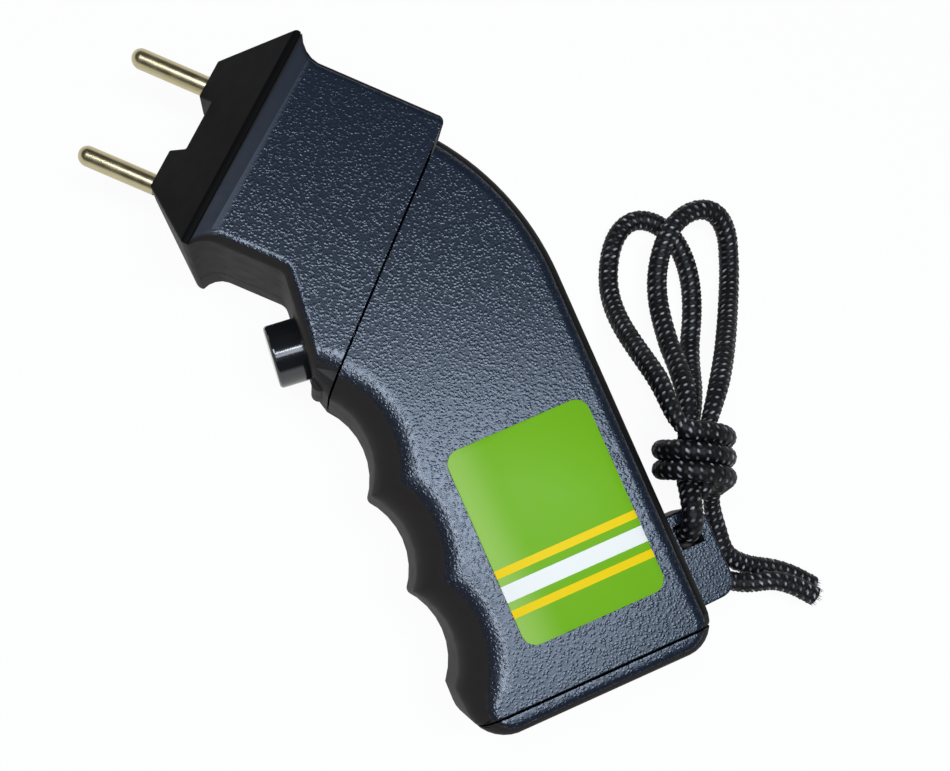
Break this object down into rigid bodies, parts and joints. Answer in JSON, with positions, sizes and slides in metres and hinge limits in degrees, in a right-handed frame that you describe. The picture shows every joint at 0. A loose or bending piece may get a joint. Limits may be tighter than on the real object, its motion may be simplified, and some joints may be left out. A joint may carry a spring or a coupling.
{
  "type": "cattle prodder",
  "caption": "Hand-held cattle prodder: black pistol-shaped casing with finger grooves, twin brass prongs, push button, battery base cap and a knotted lanyard.",
  "frame": {"origin": "on the back face that the object lies on, where the prong line crosses the seam of head and grip", "axes": "+X forward along the prongs, +Y towards the push button and the finger grooves, +Z out of the labelled side"},
  "size_m": [0.1881, 0.1292, 0.035],
  "materials": {
    "shell_plastic": "black moulded plastic with a fine leather grain",
    "nose_plastic": "plain satin black plastic",
    "button_plastic": "glossy black plastic",
    "foam": "black foam",
    "prong_brass": "brushed brass",
    "plated_steel": "zinc-plated steel",
    "board": "green laminate",
    "ferrite": "dark grey ferrite",
    "copper": "enamelled copper wire",
    "component_plastic": "moulded component body",
    "component_sleeve": "dark blue sleeve",
    "component_coat": "brown dipped coating",
    "lead_red": "red lead insulation",
    "lead_black": "black lead insulation",
    "battery_case": "plain silver-grey metal sleeve",
    "label_film": "green printed film with plain bands",
    "cord": "black braided cord with pale flecks"
  },
  "bodies": {
    "casing": {"head_shell": "shell_plastic", "grip_shell": "shell_plastic", "back_cover": "shell_plastic", "nose_cap": "nose_plastic", "prong_upper": "prong_brass", "prong_lower": "prong_brass", "prong_nuts": "prong_brass", "solder_lugs": "plated_steel", "button_spring": "plated_steel", "switch_body": "button_plastic", "switch_terminals": "prong_brass", "switch_carrier": "nose_plastic", "circuit_board": "board", "transformer_core": "ferrite", "transformer_winding": "copper", "power_transistor": "component_plastic", "smoothing_capacitor": "component_sleeve", "multiplier_capacitors": "component_coat", "multiplier_diodes": "component_plastic", "lead_upper": "lead_red", "lead_lower": "lead_black", "battery": "battery_case", "battery_snap": "nose_plastic", "battery_cradle": "nose_plastic", "battery_lead_plus": "lead_red", "battery_lead_minus": "lead_black", "casing_screws": "plated_steel", "side_label": "label_film", "lanyard_loops": "cord", "lanyard_wrap": "cord", "lanyard_outer_strand": "cord", "lanyard_slot_strand": "cord"},
    "button": {"push_button": "button_plastic", "switch_plunger": "nose_plastic"},
    "cap": {"base_cap": "shell_plastic", "battery_pad": "foam"}
  },
  "joints": [
    {"name": "button_press", "type": "slide", "parent": "casing", "child": "button", "axis": [-0.766, -0.6428, 0], "range_m": [0, 0.0025], "stiffness_N_per_m": 400, "springref_m": -0.002, "deforming": ["button_spring"]},
    {"name": "base_cap_slide", "type": "slide", "parent": "casing", "child": "cap", "axis": [-0.7242, 0.6896, 0], "range_m": [0, 0.03]}
  ]
}
